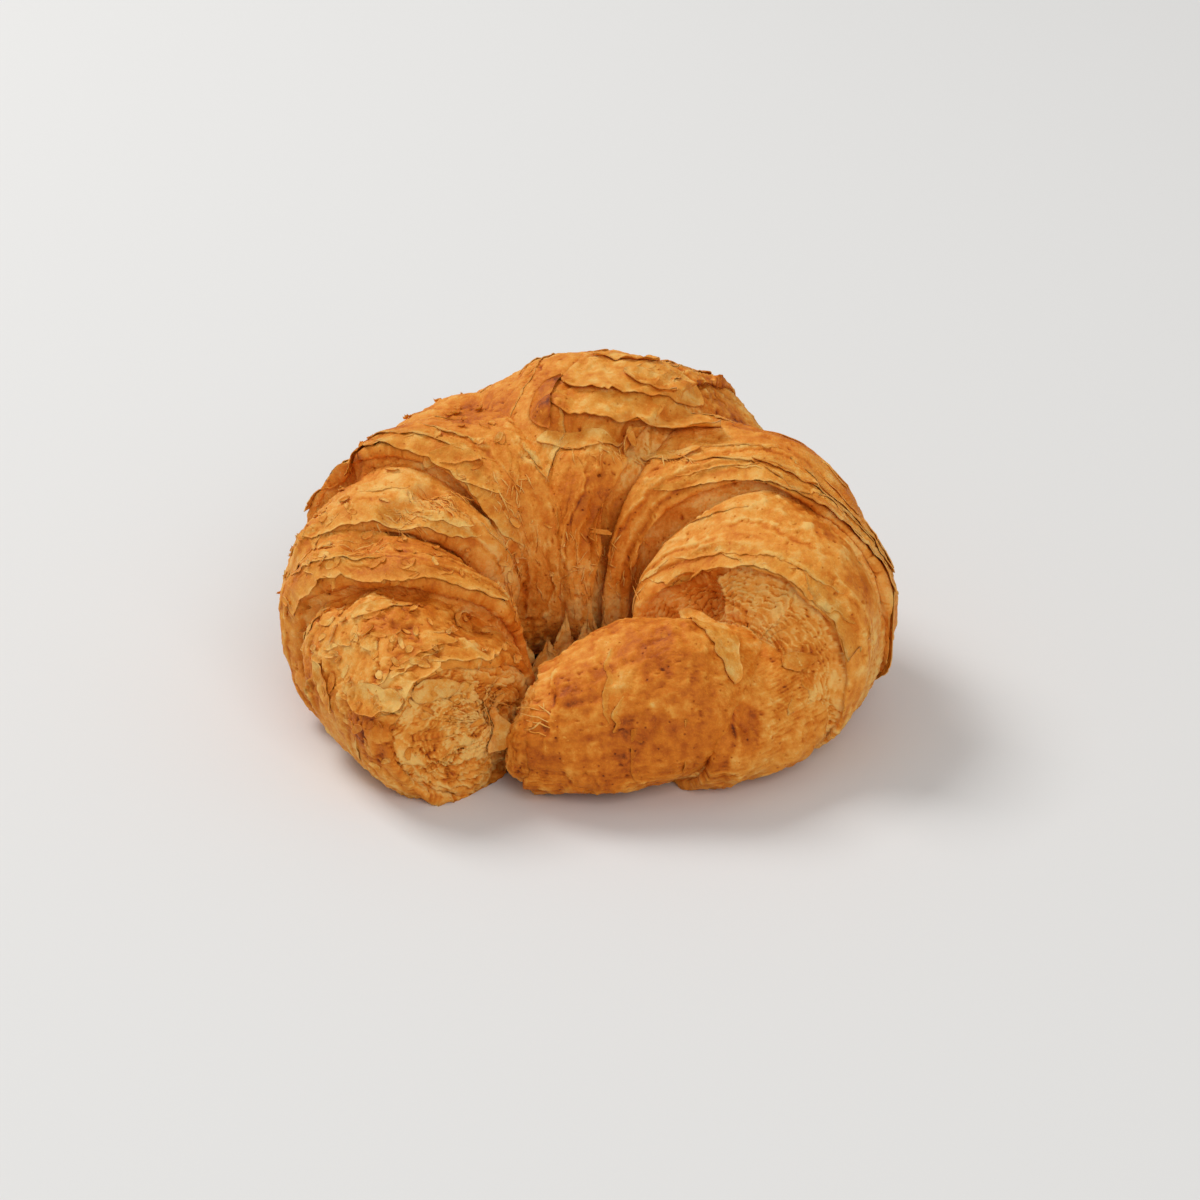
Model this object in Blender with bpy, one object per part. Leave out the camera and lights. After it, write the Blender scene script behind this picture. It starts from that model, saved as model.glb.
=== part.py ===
"""A croissant curled into a ring, modelled as one solid.

A triangle of dough is rolled up and bent round until its two ends meet at the front.
Each turn of the roll is a wrap: a fat sleeve whose edge, its lip, lies over the next
wrap nearer the end.  The wraps are lofted one by one round the ring's hole, joined by
a Boolean union and trimmed flat underneath, where the dough rested on the baking tray.

Sizes are in millimetres and become metres when a mesh is made.  +X is to the right,
+Y to the back, +Z up.  The origin is on the tray, below the middle of the croissant.
"""

from math import pi, radians

import bpy
import numpy as np
from mathutils import Matrix

MM = 0.001

# The middle of the ring's hole.  Every wrap is laid out round it.
HOLE = (-4.0, -19.0, 0.0)

# The dough swells towards the hole, but stops short of its middle.
INNER_SWELL = 4.0
HOLE_RADIUS = 6.5

# How boxy a wrap's lower half is, where it sags on to the tray: 2 is round.
SAG_BOXY = 2.5

# How boxy a wrap's two ends are: a soft end melts into its neighbour, a crisp one is a lip.
SOFT = 2.4
CRISP = 4.6
LIP_WEIGHT_POWER = 2.0

# Slow lumps, so that no two stretches of the ring are alike.
LUMP_SIZE = 1.1
LUMP_WAVES = (
    ((0.11, 0.05, 0.08), 0.4),
    ((-0.07, 0.16, 0.05), 2.1),
    ((0.19, -0.12, 0.15), 4.0),
    ((0.08, 0.24, -0.17), 5.2),
)

# The block that trims the underside flat.
TRAY_SIDE = 400.0
TRAY_DEPTH = 60.0

ROWS = 21
COLUMNS = 38

CRUST_COLOUR = (0.52, 0.24, 0.07, 1.0)
CRUST_ROUGHNESS = 0.55

# Each wrap, from its first edge to its last, as stations of: the angle round the hole in
# degrees (0 is to the right, 90 to the back), the axis' distance from the hole, its height,
# the half width and the half height.  Then how many degrees each edge, the first and the
# last, is turned further round on its outer side and on its top, and how boxy they are.
WRAPS = {
    "centre": (
        ((134, 43, 27, 27, 28), (87, 45, 32, 39, 34), (26, 43, 28, 33, 30)),
        ((0, 0), (0, 0)),
        (SOFT, SOFT),
    ),
    "tip": (
        ((99, 50, 33.5, 27, 30), (76, 51, 34, 30, 32), (36, 52, 31, 29, 29)),
        ((0, 0), (0, 0)),
        (CRISP, SOFT),
    ),
    "back_left": (
        ((84, 45, 31, 37, 33), (119, 44, 28.5, 30.5, 29.5), (153, 46, 26.5, 27.5, 27.5)),
        ((0, 0), (5, 2)),
        (SOFT, CRISP),
    ),
    "back_right": (
        ((64, 47, 30, 29, 31), (38, 45, 28, 29.5, 29.5), (8, 45.5, 26.5, 28, 27.5)),
        ((0, 0), (-29, -2)),
        (SOFT, CRISP),
    ),
    "left": (
        ((134, 45, 26, 22, 25), (155, 43, 25.5, 23.5, 25), (172, 41.5, 24, 22.5, 24)),
        ((0, 0), (8, 10)),
        (SOFT, CRISP),
    ),
    "left_front": (
        ((156, 44, 23, 21, 22), (182, 43.5, 23, 22, 22.5), (214, 40, 21, 23, 21)),
        ((0, 0), (-32, -3)),
        (SOFT, CRISP),
    ),
    "left_end": (
        ((180, 43, 20, 20, 19), (212, 42, 19, 20, 19.5), (246, 43, 15, 17.5, 16)),
        ((0, 0), (-12, -2)),
        (SOFT, CRISP),
    ),
    "right": (
        ((30, 44, 25, 24, 24.5), (2, 45, 25.5, 25.5, 25), (-29, 44.5, 22, 26, 23.5)),
        ((0, 0), (-5, 0)),
        (SOFT, CRISP),
    ),
    "right_under": (
        ((0, 47, 17, 18, 17), (-30, 45, 15, 18.5, 15), (-60, 38, 12, 15, 12)),
        ((0, 0), (0, 0)),
        (SOFT, CRISP),
    ),
    "horn": (
        ((-14, 44, 18, 15, 16), (-58, 35, 18, 18.5, 17.5), (-112, 33, 12, 14, 12)),
        ((0, 0), (0, 0)),
        (SOFT, CRISP),
    ),
}


def through(values, t):
    """A smooth curve through evenly spaced values, for t from 0 to 1."""
    values = np.asarray(values, float)
    before, after = 2 * values[0] - values[1], 2 * values[-1] - values[-2]
    values = np.vstack([before, values, after])
    place = np.clip(t, 0, 1) * (len(values) - 3)
    index = np.minimum(place.astype(int), len(values) - 4)
    f = (place - index)[:, None]
    a, b, c, d = (values[index + k] for k in range(4))
    return 0.5 * (
        2 * b + (c - a) * f + (2 * a - 5 * b + 4 * c - d) * f**2 + (3 * (b - c) + d - a) * f**3
    )


def barrel(t, ends):
    """How full a wrap is along its axis: 0 at both ends and 1 between them."""
    side = 2 * t - 1
    boxy = np.where(side < 0, *ends)
    return np.clip(1 - np.abs(side) ** boxy, 0, 1) ** (1 / boxy)


def lumps(points):
    """A slow, smooth, uneven swelling, in millimetres."""
    total = np.zeros(points.shape[:-1])
    for wave, phase in LUMP_WAVES:
        total += np.sin(points @ np.array(wave) + phase)
    return total * LUMP_SIZE / 2


def squarer_below(value, top):
    """Squares off the lower half of a section, where the dough sags on to the tray."""
    return np.where(top < 0, np.sign(value) * np.abs(value) ** (2 / SAG_BOXY), value)


def wrap_grid(stations, leans, ends, rows, columns):
    """Points of one wrap, rows along its axis and columns round it."""
    along = (1 - np.cos(np.linspace(0, pi, rows))) / 2
    around = np.linspace(0, 2 * pi, columns, endpoint=False)
    angle, reach, height, half_width, half_height = through(stations, along).T[..., None]
    first, last = (side * np.cos(around) + top * np.sin(around) for side, top in leans)
    full = barrel(along, ends)[:, None]
    near_first = ((1 - along) ** LIP_WEIGHT_POWER)[:, None]
    near_last = (along**LIP_WEIGHT_POWER)[:, None]
    angle = np.radians(angle + full * (near_first * first + near_last * last))
    outward = np.stack([np.cos(angle), np.sin(angle), 0 * angle], axis=2)
    side, top = np.cos(around), np.sin(around)
    side, top = squarer_below(side, top), squarer_below(top, top)
    swell = np.minimum(INNER_SWELL, reach - HOLE_RADIUS - half_width)
    wide = ((half_width + swell * (side < 0)) * side)[..., None]
    high = (half_height * top)[..., None]
    up = np.array((0.0, 0.0, 1.0))
    axis = np.array(HOLE) + reach[..., None] * outward + height[..., None] * up
    radial = wide * outward + high * up
    points = axis + full[..., None] * radial
    radial /= np.linalg.norm(radial, axis=2, keepdims=True)
    return points + (full * lumps(points))[..., None] * radial


def closed_mesh(name, grid):
    """A closed mesh from a grid whose first and last rows are single points."""
    rows, columns = grid.shape[:2]
    rings = grid[1:-1].reshape(-1, 3)
    poles = np.stack([grid[0].mean(axis=0), grid[-1].mean(axis=0)])
    points = np.concatenate([rings, poles]) * MM
    first_pole, last_pole = len(rings), len(rings) + 1
    faces = []
    for row in range(rows - 3):
        for column in range(columns):
            after = (column + 1) % columns
            low, high = row * columns, (row + 1) * columns
            faces.append((low + column, low + after, high + after, high + column))
    last_ring = (rows - 3) * columns
    for column in range(columns):
        after = (column + 1) % columns
        faces.append((first_pole, after, column))
        faces.append((last_pole, last_ring + column, last_ring + after))
    mesh = bpy.data.meshes.new(name)
    mesh.from_pydata(points.tolist(), [], faces)
    mesh.update()
    return mesh


def turn_outward(mesh):
    """Flips every face of a closed mesh that encloses a negative volume."""
    mesh.calc_loop_triangles()
    volume = sum(
        mesh.vertices[a].co.dot(mesh.vertices[b].co.cross(mesh.vertices[c].co))
        for a, b, c in (triangle.vertices for triangle in mesh.loop_triangles)
    )
    if volume < 0:
        mesh.flip_normals()


def helper(name, mesh, collection):
    """An object that only shapes the croissant, and isn't a part of it."""
    made = bpy.data.objects.new(name, mesh)
    made.hide_render = True
    made.display_type = "WIRE"
    collection.objects.link(made)
    return made


def tray_cutter():
    """A block that fills the space below the tray's top."""
    bpy.ops.mesh.primitive_cube_add(size=1, location=(0, 0, -TRAY_DEPTH * MM / 2))
    made = bpy.context.object
    made.name = "tray_cutter"
    made.data.transform(Matrix.Diagonal((TRAY_SIDE, TRAY_SIDE, TRAY_DEPTH, 1 / MM)) * MM)
    made.hide_render = True
    made.display_type = "WIRE"
    return made


def boolean(target, name, operation):
    """An exact Boolean on the target, still without its other operand."""
    made = target.modifiers.new(name, "BOOLEAN")
    made.operation = operation
    made.solver = "EXACT"
    return made


def crust_material():
    material = bpy.data.materials.new("crust")
    material.use_nodes = True
    shader = material.node_tree.nodes["Principled BSDF"]
    shader.inputs["Base Color"].default_value = CRUST_COLOUR
    shader.inputs["Roughness"].default_value = CRUST_ROUGHNESS
    return material


def build():
    for old in list(bpy.data.objects):
        bpy.data.objects.remove(old)
    scene_objects = bpy.context.scene.collection
    wraps = bpy.data.collections.new("wraps")
    scene_objects.children.link(wraps)
    grids = {name: wrap_grid(*wrap, ROWS, COLUMNS) for name, wrap in WRAPS.items()}
    spread = np.concatenate([grid.reshape(-1, 3) for grid in grids.values()])
    middle = (spread.min(axis=0) + spread.max(axis=0)) / 2
    middle[2] = 0
    croissant = None
    for name, grid in grids.items():
        mesh = closed_mesh(name, grid - middle)
        turn_outward(mesh)
        if croissant is None:
            croissant = bpy.data.objects.new("croissant", mesh)
            scene_objects.objects.link(croissant)
        else:
            helper("wrap_" + name, mesh, wraps)
    join = boolean(croissant, "join the wraps", "UNION")
    join.operand_type = "COLLECTION"
    join.collection = wraps
    trim = boolean(croissant, "flat base", "DIFFERENCE")
    trim.object = tray_cutter()
    croissant.data.materials.append(crust_material())
    croissant.data.shade_smooth()
    croissant.data.set_sharp_from_angle(angle=radians(40))


build()
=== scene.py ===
"""The looks of a croissant curled into a ring: its flaky, wrinkled, unevenly browned crust.

Each turn of the rolled dough is a wrap, a fat sleeve whose last edge, its lip, lies over the
next wrap.  The wraps here follow the same stations as the solid, far more finely, and carry
relief that is worked out point by point.  Thin pages, peeled flakes and torn threads of dough
lie on them.  Sizes are in millimetres and become metres when a mesh is made.
"""

from itertools import product
from math import pi, radians

import bpy
import numpy as np
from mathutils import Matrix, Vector
from mathutils.bvhtree import BVHTree


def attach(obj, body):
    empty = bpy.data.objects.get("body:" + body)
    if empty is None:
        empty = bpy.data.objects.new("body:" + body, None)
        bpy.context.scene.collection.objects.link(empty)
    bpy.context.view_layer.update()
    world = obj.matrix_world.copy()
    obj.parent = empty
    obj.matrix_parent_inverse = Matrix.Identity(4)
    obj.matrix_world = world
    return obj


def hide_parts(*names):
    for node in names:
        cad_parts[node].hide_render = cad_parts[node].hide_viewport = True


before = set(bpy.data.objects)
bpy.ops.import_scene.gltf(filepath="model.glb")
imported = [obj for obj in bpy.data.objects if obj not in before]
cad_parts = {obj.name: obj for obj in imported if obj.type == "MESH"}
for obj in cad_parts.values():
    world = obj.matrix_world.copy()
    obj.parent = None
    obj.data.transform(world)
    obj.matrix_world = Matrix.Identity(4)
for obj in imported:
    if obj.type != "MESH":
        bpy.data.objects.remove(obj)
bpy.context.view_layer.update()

MM = 0.001
UP = np.array((0.0, 0.0, 1.0))

# --- The solid's own shape ---------------------------------------------------------------

HOLE = (-4.0, -19.0, 0.0)
INNER_SWELL = 4.0
HOLE_RADIUS = 6.5
SAG_BOXY = 2.5
SOFT = 2.4
CRISP = 4.6
LIP_WEIGHT_POWER = 2.0
LUMP_SIZE = 1.1
LUMP_WAVES = (
    ((0.11, 0.05, 0.08), 0.4),
    ((-0.07, 0.16, 0.05), 2.1),
    ((0.19, -0.12, 0.15), 4.0),
    ((0.08, 0.24, -0.17), 5.2),
)
SOLID_ROWS = 21
SOLID_COLUMNS = 38

# Each wrap, from its first edge to its last, as stations of: the angle round the hole in
# degrees (0 is to the right, 90 to the back), the axis' distance from the hole, its height,
# the half width and the half height.  Then how many degrees each edge, the first and the
# last, is turned further round on its outer side and on its top, and how boxy they are.
WRAPS = {
    "centre": (
        ((134, 43, 27, 27, 28), (87, 45, 32, 39, 34), (26, 43, 28, 33, 30)),
        ((0, 0), (0, 0)),
        (SOFT, SOFT),
    ),
    "tip": (
        ((99, 50, 33.5, 27, 30), (76, 51, 34, 30, 32), (36, 52, 31, 29, 29)),
        ((0, 0), (0, 0)),
        (CRISP, SOFT),
    ),
    "back_left": (
        ((84, 45, 31, 37, 33), (119, 44, 28.5, 30.5, 29.5), (153, 46, 26.5, 27.5, 27.5)),
        ((0, 0), (5, 2)),
        (SOFT, CRISP),
    ),
    "back_right": (
        ((64, 47, 30, 29, 31), (38, 45, 28, 29.5, 29.5), (8, 45.5, 26.5, 28, 27.5)),
        ((0, 0), (-29, -2)),
        (SOFT, CRISP),
    ),
    "left": (
        ((134, 45, 26, 22, 25), (155, 43, 25.5, 23.5, 25), (172, 41.5, 24, 22.5, 24)),
        ((0, 0), (8, 10)),
        (SOFT, CRISP),
    ),
    "left_front": (
        ((156, 44, 23, 21, 22), (182, 43.5, 23, 22, 22.5), (214, 40, 21, 23, 21)),
        ((0, 0), (-32, -3)),
        (SOFT, CRISP),
    ),
    "left_end": (
        ((180, 43, 20, 20, 19), (212, 42, 19, 20, 19.5), (246, 43, 15, 17.5, 16)),
        ((0, 0), (-12, -2)),
        (SOFT, CRISP),
    ),
    "right": (
        ((30, 44, 25, 24, 24.5), (2, 45, 25.5, 25.5, 25), (-29, 44.5, 22, 26, 23.5)),
        ((0, 0), (-5, 0)),
        (SOFT, CRISP),
    ),
    "right_under": (
        ((0, 47, 17, 18, 17), (-30, 45, 15, 18.5, 15), (-60, 38, 12, 15, 12)),
        ((0, 0), (0, 0)),
        (SOFT, CRISP),
    ),
    "horn": (
        ((-14, 44, 18, 15, 16), (-58, 35, 18, 18.5, 17.5), (-112, 33, 12, 14, 12)),
        ((0, 0), (0, 0)),
        (SOFT, CRISP),
    ),
}


def through(values, t):
    """A smooth curve through evenly spaced values, for t from 0 to 1."""
    values = np.asarray(values, float)
    before, after = 2 * values[0] - values[1], 2 * values[-1] - values[-2]
    values = np.vstack([before, values, after])
    place = np.clip(t, 0, 1) * (len(values) - 3)
    index = np.minimum(place.astype(int), len(values) - 4)
    f = (place - index)[:, None]
    a, b, c, d = (values[index + k] for k in range(4))
    return 0.5 * (
        2 * b + (c - a) * f + (2 * a - 5 * b + 4 * c - d) * f**2 + (3 * (b - c) + d - a) * f**3
    )


def barrel(t, ends):
    """How full a wrap is along its axis: 0 at both ends and 1 between them."""
    side = 2 * t - 1
    boxy = np.where(side < 0, *ends)
    return np.clip(1 - np.abs(side) ** boxy, 0, 1) ** (1 / boxy)


def lumps(points):
    """A slow, smooth, uneven swelling, in millimetres."""
    total = np.zeros(points.shape[:-1])
    for wave, phase in LUMP_WAVES:
        total += np.sin(points @ np.array(wave) + phase)
    return total * LUMP_SIZE / 2


def squarer_below(value, top):
    """Squares off the lower half of a section, where the dough sags on to the tray."""
    return np.where(top < 0, np.sign(value) * np.abs(value) ** (2 / SAG_BOXY), value)


def wrap_grid(stations, leans, ends, along, around, ragged=0.0):
    """Points of one wrap, rows along its axis and columns round it."""
    angle, reach, height, half_width, half_height = through(stations, along).T[..., None]
    first, last = (side * np.cos(around) + top * np.sin(around) for side, top in leans)
    full = barrel(along, ends)[:, None]
    near_first = ((1 - along) ** LIP_WEIGHT_POWER)[:, None]
    near_last = (along**LIP_WEIGHT_POWER)[:, None]
    angle = np.radians(angle + full * (near_first * first + near_last * last) + ragged)
    outward = np.stack([np.cos(angle), np.sin(angle), 0 * angle], axis=2)
    side, top = np.cos(around), np.sin(around)
    side, top = squarer_below(side, top), squarer_below(top, top)
    swell = np.minimum(INNER_SWELL, reach - HOLE_RADIUS - half_width)
    wide = ((half_width + swell * (side < 0)) * side)[..., None]
    high = (half_height * top)[..., None]
    axis = np.array(HOLE) + reach[..., None] * outward + height[..., None] * UP
    radial = wide * outward + high * UP
    points = axis + full[..., None] * radial
    radial /= np.linalg.norm(radial, axis=2, keepdims=True)
    return points + (full * lumps(points))[..., None] * radial


def middle_of_wraps():
    """The middle of the wraps' bounding box, which the solid has over its origin."""
    along = (1 - np.cos(np.linspace(0, pi, SOLID_ROWS))) / 2
    around = np.linspace(0, 2 * pi, SOLID_COLUMNS, endpoint=False)
    grids = [wrap_grid(*wrap, along, around).reshape(-1, 3) for wrap in WRAPS.values()]
    spread = np.concatenate(grids)
    middle = (spread.min(axis=0) + spread.max(axis=0)) / 2
    middle[2] = 0
    return middle


MIDDLE = middle_of_wraps()


def buried(points, name, margin):
    """Whether each point lies deeper than a margin inside any other wrap."""
    inside = np.zeros(points.shape[:-1], bool)
    spot = points + MIDDLE - np.array(HOLE)
    turn = np.degrees(np.arctan2(spot[..., 1], spot[..., 0]))
    out = np.hypot(spot[..., 0], spot[..., 1])
    steps = np.linspace(0, 1, 201)
    for other, (stations, leans, ends) in WRAPS.items():
        if other == name:
            continue
        table = through(stations, steps)
        way = np.sign(table[-1, 0] - table[0, 0])
        half_way = table[len(steps) // 2, 0]
        angle = half_way + (turn - half_way + 180) % 360 - 180
        lean = 0.0
        for _ in range(3):
            t = np.interp(way * (angle - lean), way * table[:, 0], steps)
            reach, height, half_width, half_height = (
                np.interp(t, steps, table[:, column]) for column in (1, 2, 3, 4)
            )
            side = (out - reach) / half_width
            top = (spot[..., 2] - height) / half_height
            around = np.arctan2(top, side)
            full = barrel(t, ends)
            first, last = (a * np.cos(around) + b * np.sin(around) for a, b in leans)
            lean = full * ((1 - t) ** 2 * first + t**2 * last)
        within = (t > 0) & (t < 1)
        inside |= within & (np.hypot(side, top) < full - margin / half_height)
    return inside


# --- Noise -------------------------------------------------------------------------------

RANDOM = np.random.default_rng(11)
SHUFFLE = RANDOM.permutation(256)
SLOPES = RANDOM.normal(size=(256, 3))
SLOPES /= np.linalg.norm(SLOPES, axis=1, keepdims=True)
JITTER = RANDOM.uniform(0.1, 0.9, size=(256, 3))
CELL_VALUES = RANDOM.uniform(-1, 1, size=256)


def shuffled(cell):
    """A random number from 0 to 255 for each whole-numbered cell of space."""
    x, y, z = np.moveaxis(cell & 255, -1, 0)
    return SHUFFLE[(SHUFFLE[(SHUFFLE[x] + y) & 255] + z) & 255]


def noise(points, size, seed=0):
    """Smooth noise from about -1 to 1, with bumps about as wide as size."""
    place = points / size + seed * 17.31
    cell = np.floor(place).astype(int)
    part = place - cell
    fade = part**3 * (part * (part * 6 - 15) + 10)
    total = np.zeros(points.shape[:-1])
    for corner in product((0, 1), repeat=3):
        slope = SLOPES[shuffled(cell + corner)]
        weight = np.prod(np.where(corner, fade, 1 - fade), axis=-1)
        total += weight * np.einsum("...i,...i", slope, part - corner)
    return total * 1.6


def fractal(points, size, seed=0, octaves=3):
    """Noise with finer noise on top of it."""
    return sum(noise(points, size / 2**k, seed + k) / 2**k for k in range(octaves))


def shaken(points, size, amount, seed=0):
    """The points, each moved a little by noise."""
    return points + amount * np.stack([noise(points, size, seed + k) for k in (1, 2, 3)], axis=-1)


def cracks(points, size, seed=0):
    """The distance from the nearest border between random cells, and a value for each cell."""
    place = points / size + seed * 9.7
    cell = np.floor(place).astype(int)
    nearest = np.full(points.shape[:-1], 9.0)
    second = nearest.copy()
    value = np.zeros(points.shape[:-1])
    for step in product((-1, 0, 1), repeat=3):
        number = shuffled(cell + step)
        distance = np.linalg.norm(place - cell - step - JITTER[number], axis=-1)
        closer = distance < nearest
        second = np.where(closer, nearest, np.minimum(second, distance))
        value = np.where(closer, CELL_VALUES[number], value)
        nearest = np.minimum(nearest, distance)
    return (second - nearest) * size, value


def smooth_step(value):
    """Rises softly from 0 to 1 as the value goes from 0 to 1."""
    value = np.clip(value, 0, 1)
    return value * value * (3 - 2 * value)


def bell(value, width):
    """1 where the value is 0, and nearly 0 beyond twice the width."""
    return np.exp(-((value / width) ** 2))


# --- Where the crust is toasted, pale and dented -----------------------------------------

# Toasted patches, and pale ones below 0: place, radius, strength, and how soft the edge is.
TOASTED = (
    ((4, -7, 40), 10, 0.45, 0.8),
    ((-1, -4, 47), 8, 0.35, 0.8),
    ((7, -9, 32), 7, 0.15, 0.8),
    ((-26, 23, 55), 9, 0.60, 0.5),
    ((-34, 15, 54), 8, 0.30, 0.8),
    ((-46, 15, 50), 9, 0.55, 0.6),
    ((-55, 6, 46), 7, 0.45, 0.6),
    ((-36, -18, 44), 11, 0.30, 0.9),
    ((-28, -28, 37), 9, 0.35, 0.8),
    ((-44, -30, 42), 8, 0.30, 0.8),
    ((-49, -58, 19), 6, 0.75, 0.5),
    ((-41, -62, 18), 5, 0.70, 0.5),
    ((-44, -46, 36), 5, 0.50, 0.4),
    ((-37, -43, 36), 5, 0.35, 0.5),
    ((-58, -48, 22), 5, 0.45, 0.6),
    ((-1, -59, 28), 6.5, 0.62, 0.25),
    ((16, -55, 34), 8, 0.50, 0.7),
    ((25, -60, 28), 6, 0.35, 0.8),
    ((3, -66, 17), 9, 0.62, 1.0),
    ((16, -66, 14), 8, 0.60, 1.0),
    ((-12, -61, 13), 7, 0.65, 0.9),
    ((28, -64, 17), 6, 0.40, 0.9),
    ((46, -46, 30), 7, 0.60, 0.7),
    ((24, -29, 36), 7, 0.75, 0.6),
    ((33, -57, 18), 4, 0.80, 0.6),
    ((31, 28, 56), 7, 0.75, 0.4),
    ((41, 22, 53), 7, 0.70, 0.4),
    ((50, 12, 49), 6, 0.65, 0.5),
    ((59, 2, 44), 6, 0.55, 0.5),
    ((54, -23, 46), 5, 0.75, 0.3),
    ((60, -32, 39), 5, 0.70, 0.3),
    ((49, -15, 49), 4, 0.50, 0.3),
    ((17, 17, 64), 7, 0.15, 0.7),
    ((-8, 12, 61), 4.5, 1.10, 0.5),
    ((-7, 22, 63), 4, 0.60, 0.6),
    ((-58, -40, 29), 8, -0.30, 0.9),
    ((-14, -12, 36), 7, -0.30, 0.9),
    ((2, -13, 22), 10, -0.35, 0.8),
    ((-24, -14, 36), 7, -0.25, 0.9),
    ((-50, -6, 46), 7, -0.25, 0.9),
    ((-39, -9, 47), 5, -0.40, 0.7),
    ((38, -22, 46), 10, -0.12, 0.9),
    ((62, -20, 40), 9, -0.40, 0.9),
    ((-40, -56, 28), 6, -0.30, 0.5),
    ((-14, 2, 55), 6, -0.30, 0.8),
    ((15, 2, 56), 7, -0.30, 0.8),
    ((40, 17, 53), 9, 0.80, 0.6),
    ((22, 38, 60), 8, 0.35, 0.7),
)

BROWNED = 0.36
BROWN_SWING = 0.13
TOASTING = 0.42

# Hollows, and bumps below 0: place, radius, depth.
DENTS = (
    ((-58, 12, 44), 6, 3.0),
    ((-50, 3, 46), 5, 2.0),
    ((-42, -14, 46), 4, 2.5),
    ((-36, -7, 48), 4, 2.2),
    ((-50, -23, 44), 4, 2.0),
    ((23, -31, 34), 6, 2.5),
    ((34, -58, 19), 4, 2.5),
    ((-4, 5, 58), 4, 2.0),
    ((10, 5, 58), 5, 2.5),
    ((19, 4, 57), 4, 2.0),
    ((-20, -52, 20), 5, 1.5),
    ((-8, 12, 61), 4, -2.6),
    ((-7, 20, 63), 4, -1.2),
    ((-52, -33, 34), 5, 2.0),
    ((-40, -36, 37), 5, 1.8),
    ((-26, -38, 31), 5, 1.8),
)


def baked(points):
    """How browned the crust is at each point: 0 is cream and 1 is dark."""
    total = (BROWNED + BROWN_SWING * fractal(points, 17, 50)) / TOASTING
    uneven = 1 + 0.30 * noise(points, 7, 60) + 0.25 * noise(points, 2.4, 61)
    for place, radius, strength, softness in TOASTED:
        distance = np.linalg.norm(points - np.array(place), axis=-1)
        total += strength * smooth_step(0.5 + (1 - distance / (radius * uneven)) / (2 * softness))
    return total * TOASTING


def hollows(points):
    """How far each point lies below the plain crust."""
    total = np.zeros(points.shape[:-1])
    for place, radius, depth in DENTS:
        distance = np.linalg.norm(points - np.array(place), axis=-1)
        total += depth * smooth_step(1.4 - distance / radius)
    return total


# --- The wraps' relief -------------------------------------------------------------------

# What a wrap's finish is unless FINISH says otherwise.  Ledges are thin steps, as how far
# behind the lip, how far that wanders, and how high.  Strata are page edges that run along
# the ring, as where round the section in degrees, how wide, and how high.  Pages are how many
# small ones lie on the wrap, and all else is how strong that kind of shape is.
PLAIN = {
    "ledges": ((2.5, 2, 0.45), (7, 4, 0.45)),
    "strata": (-40, 30, 0.35),
    "wrinkled": 1.0,
    "blistered": 0.8,
    "peeled": 0.8,
    "mosaic": 0.35,
    "pleats": 0.0,
    "streaks": 0.2,
    "layers": 0.35,
    "browning": 0.0,
    "rim": 1.2,
    "pages": 16,
}
FINISH = {
    "centre": {"pleats": 0.6, "rim": 0.0, "mosaic": 0.45, "pages": 26},
    "tip": {"peeled": 1.6, "rim": 0.0, "mosaic": 0.9, "wrinkled": 1.5, "pages": 34},
    "back_left": {"mosaic": 0.45, "pages": 24, "browning": 0.02},
    "back_right": {
        "ledges": ((2, 1.2, 0.5), (5, 2, 0.6), (10, 4, 0.5), (17, 5, 0.5)),
        "wrinkled": 0.9,
        "blistered": 0.4,
        "pages": 30,
    },
    "left": {"wrinkled": 1.5, "browning": -0.02, "rim": 2.0, "pages": 20},
    "left_front": {"blistered": 1.0, "browning": 0.04, "rim": 2.2, "pages": 18},
    "left_end": {
        "strata": (-25, 35, 0.55),
        "peeled": 1.4,
        "mosaic": 1.6,
        "layers": 0.8,
        "pages": 20,
    },
    "right": {
        "ledges": ((1.2, 0.6, 0.4), (2.6, 1, 0.4), (4.2, 1.4, 0.45), (7, 2, 0.4), (11, 3, 0.35)),
        "strata": (-20, 35, 0.6),
        "blistered": 1.6,
        "wrinkled": 0.9,
        "peeled": 0.3,
        "mosaic": 0.15,
        "layers": 0.8,
        "browning": -0.03,
        "pages": 12,
    },
    "right_under": {"strata": (0, 60, 0.6), "wrinkled": 1.3, "pages": 10},
    "horn": {
        "strata": (-50, 40, 0.5),
        "streaks": 1.0,
        "rim": 0.3,
        "peeled": 0.7,
        "blistered": 1.2,
        "browning": 0.06,
        "pages": 8,
    },
}

# The grid: points this far apart, closer near the ends of a wrap and on its top.
SPACING = 0.475
LIP_ROWS = 0.44
LIP_CLOSER = 1.45
TOP_CLOSER = 0.28
BURIED_BELOW = 5.5

# The lip's shoulder is where a wrap is this full, and noise round a wrap uses a ring this wide.
SHOULDER_FULL = 0.93
RING_RADIUS = 25
LIP_FORWARD = 2.4
CAP_BACK = 2.0
LAYER_PITCH = 1.5
STRATA_PITCH = 1.3
STRATA_RADIUS = 24

# The small shapes' heights and depths.
SHEET_HEIGHT = 0.9
WRINKLES = (0.34, 0.26, 0.16)
PLEAT_HEIGHT = 1.1
STREAK_HEIGHT = 0.22
BLISTER_HEIGHT = 0.5
PEEL_HEIGHT = 0.42
CELL_SIZE = 4.6
CELL_STEP = 0.42
CRACK_DEPTH = 0.50
CRACK_WIDTH = 0.33
PIT_DEPTH = 0.55


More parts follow.
